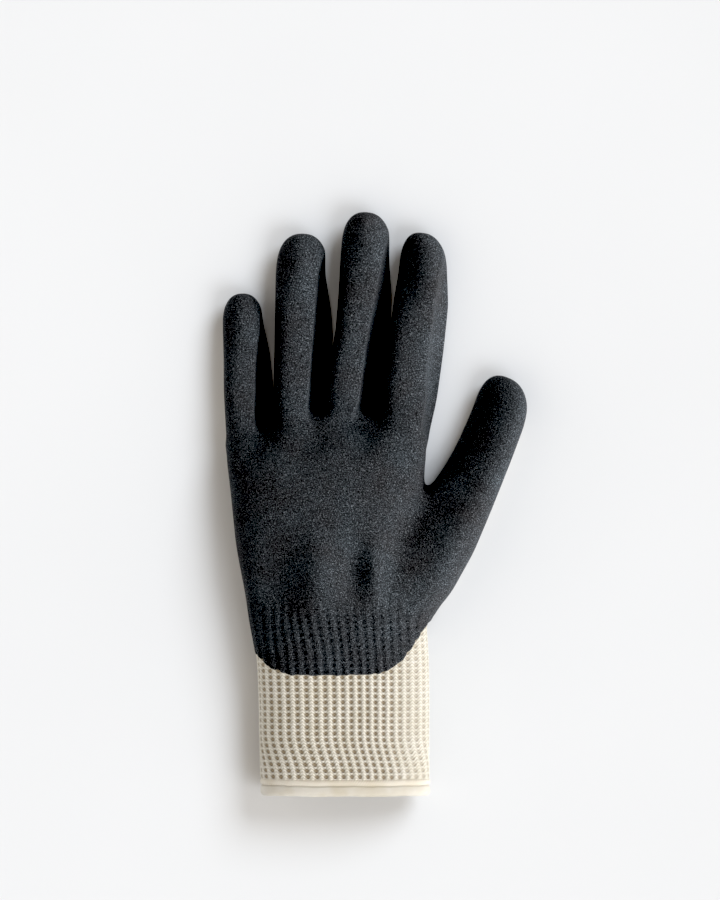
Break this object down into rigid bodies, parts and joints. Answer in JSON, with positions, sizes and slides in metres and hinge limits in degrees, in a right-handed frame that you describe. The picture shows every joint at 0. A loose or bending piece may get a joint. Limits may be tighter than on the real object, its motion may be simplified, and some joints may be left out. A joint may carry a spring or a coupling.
{
  "type": "gardening glove",
  "caption": "Right-hand knitted gardening glove with a ribbed cuff, a taped hem and a dipped grip coating over the palm, fingers and thumb.",
  "frame": {"origin": "on the table, under the middle of the glove's bounding box", "axes": "+X towards the thumb's side, +Y from the cuff to the fingertips, +Z the palm's outward normal"},
  "size_m": [0.1302, 0.2502, 0.0319],
  "materials": {
    "knit": "matt knitted cotton and polyester yarn",
    "tape": "matt woven tape",
    "thread": "matt spun thread",
    "elastic": "covered rubber yarn",
    "coating": "sandy matt foam nitrile"
  },
  "bodies": {
    "palm": {"hand_liner": "knit", "palm_coating": "coating"},
    "cuff": {"rib_cuff": "knit", "hem_tape": "tape", "overlock_thread": "thread", "elastic_yarn": "elastic"},
    "index_base": {"index_base_liner": "knit", "index_base_coating": "coating"},
    "index_middle": {"index_middle_liner": "knit", "index_middle_coating": "coating"},
    "index_tip": {"index_tip_liner": "knit", "index_tip_coating": "coating"},
    "middle_base": {"middle_base_liner": "knit", "middle_base_coating": "coating"},
    "middle_middle": {"middle_middle_liner": "knit", "middle_middle_coating": "coating"},
    "middle_tip": {"middle_tip_liner": "knit", "middle_tip_coating": "coating"},
    "ring_base": {"ring_base_liner": "knit", "ring_base_coating": "coating"},
    "ring_middle": {"ring_middle_liner": "knit", "ring_middle_coating": "coating"},
    "ring_tip": {"ring_tip_liner": "knit", "ring_tip_coating": "coating"},
    "little_base": {"little_base_liner": "knit", "little_base_coating": "coating"},
    "little_middle": {"little_middle_liner": "knit", "little_middle_coating": "coating"},
    "little_tip": {"little_tip_liner": "knit", "little_tip_coating": "coating"},
    "thumb_base": {"thumb_base_liner": "knit", "thumb_base_coating": "coating"},
    "thumb_tip": {"thumb_tip_liner": "knit", "thumb_tip_coating": "coating"}
  },
  "joints": [
    {"name": "wrist_fold", "type": "hinge", "parent": "palm", "child": "cuff", "pos_m": [-0.0129, -0.084, 0.013], "axis": [-1, 0, 0], "range_deg": [-40, 40], "stiffness_Nm_per_rad": 0.01},
    {"name": "index_base_flex", "type": "hinge", "parent": "palm", "child": "index_base", "pos_m": [0.0135, 0.045, 0.0115], "axis": [0.9938, -0.1115, 0], "range_deg": [0, 70], "stiffness_Nm_per_rad": 0.004},
    {"name": "index_middle_flex", "type": "hinge", "parent": "index_base", "child": "index_middle", "pos_m": [0.01625, 0.06683, 0.0115], "axis": [0.9938, -0.1115, 0], "range_deg": [0, 80], "stiffness_Nm_per_rad": 0.003},
    {"name": "index_tip_flex", "type": "hinge", "parent": "index_middle", "child": "index_tip", "pos_m": [0.01912, 0.09066, 0.0115], "axis": [0.9938, -0.1115, 0], "range_deg": [0, 48], "stiffness_Nm_per_rad": 0.002},
    {"name": "middle_base_flex", "type": "hinge", "parent": "palm", "child": "middle_base", "pos_m": [-0.0088, 0.046, 0.0115], "axis": [0.9972, -0.075, 0], "range_deg": [0, 70], "stiffness_Nm_per_rad": 0.004},
    {"name": "middle_middle_flex", "type": "hinge", "parent": "middle_base", "child": "middle_middle", "pos_m": [-0.00623, 0.07088, 0.0115], "axis": [0.9972, -0.075, 0], "range_deg": [0, 80], "stiffness_Nm_per_rad": 0.003},
    {"name": "middle_tip_flex", "type": "hinge", "parent": "middle_middle", "child": "middle_tip", "pos_m": [-0.00438, 0.09681, 0.0115], "axis": [0.9972, -0.075, 0], "range_deg": [0, 48], "stiffness_Nm_per_rad": 0.002},
    {"name": "ring_base_flex", "type": "hinge", "parent": "palm", "child": "ring_base", "pos_m": [-0.0327, 0.046, 0.0115], "axis": [0.9998, -0.0209, 0], "range_deg": [0, 70], "stiffness_Nm_per_rad": 0.004},
    {"name": "ring_middle_flex", "type": "hinge", "parent": "ring_base", "child": "ring_middle", "pos_m": [-0.03194, 0.06799, 0.0115], "axis": [0.9998, -0.0209, 0], "range_deg": [0, 80], "stiffness_Nm_per_rad": 0.003},
    {"name": "ring_tip_flex", "type": "hinge", "parent": "ring_middle", "child": "ring_tip", "pos_m": [-0.03165, 0.09149, 0.0115], "axis": [0.9998, -0.0209, 0], "range_deg": [0, 48], "stiffness_Nm_per_rad": 0.002},
    {"name": "little_base_flex", "type": "hinge", "parent": "palm", "child": "little_base", "pos_m": [-0.0555, 0.0395, 0.0115], "axis": [0.9995, 0.0314, 0], "range_deg": [0, 70], "stiffness_Nm_per_rad": 0.004},
    {"name": "little_middle_flex", "type": "hinge", "parent": "little_base", "child": "little_middle", "pos_m": [-0.05609, 0.05499, 0.0115], "axis": [0.9995, 0.0314, 0], "range_deg": [0, 80], "stiffness_Nm_per_rad": 0.003},
    {"name": "little_tip_flex", "type": "hinge", "parent": "little_middle", "child": "little_tip", "pos_m": [-0.05661, 0.07148, 0.0115], "axis": [0.9995, 0.0314, 0], "range_deg": [0, 48], "stiffness_Nm_per_rad": 0.002},
    {"name": "thumb_base_flex", "type": "hinge", "parent": "palm", "child": "thumb_base", "pos_m": [0.04158, 0.01192, 0.0115], "axis": [0.9239, -0.3827, 0], "range_deg": [0, 55], "stiffness_Nm_per_rad": 0.004},
    {"name": "thumb_tip_flex", "type": "hinge", "parent": "thumb_base", "child": "thumb_tip", "pos_m": [0.04866, 0.02902, 0.0115], "axis": [0.9239, -0.3827, 0], "range_deg": [0, 70], "stiffness_Nm_per_rad": 0.002}
  ],
  "couplings": [
    {"joint": "index_tip_flex", "follows": "index_middle_flex", "ratio": 0.6},
    {"joint": "middle_tip_flex", "follows": "middle_middle_flex", "ratio": 0.6},
    {"joint": "ring_tip_flex", "follows": "ring_middle_flex", "ratio": 0.6},
    {"joint": "little_tip_flex", "follows": "little_middle_flex", "ratio": 0.6}
  ]
}
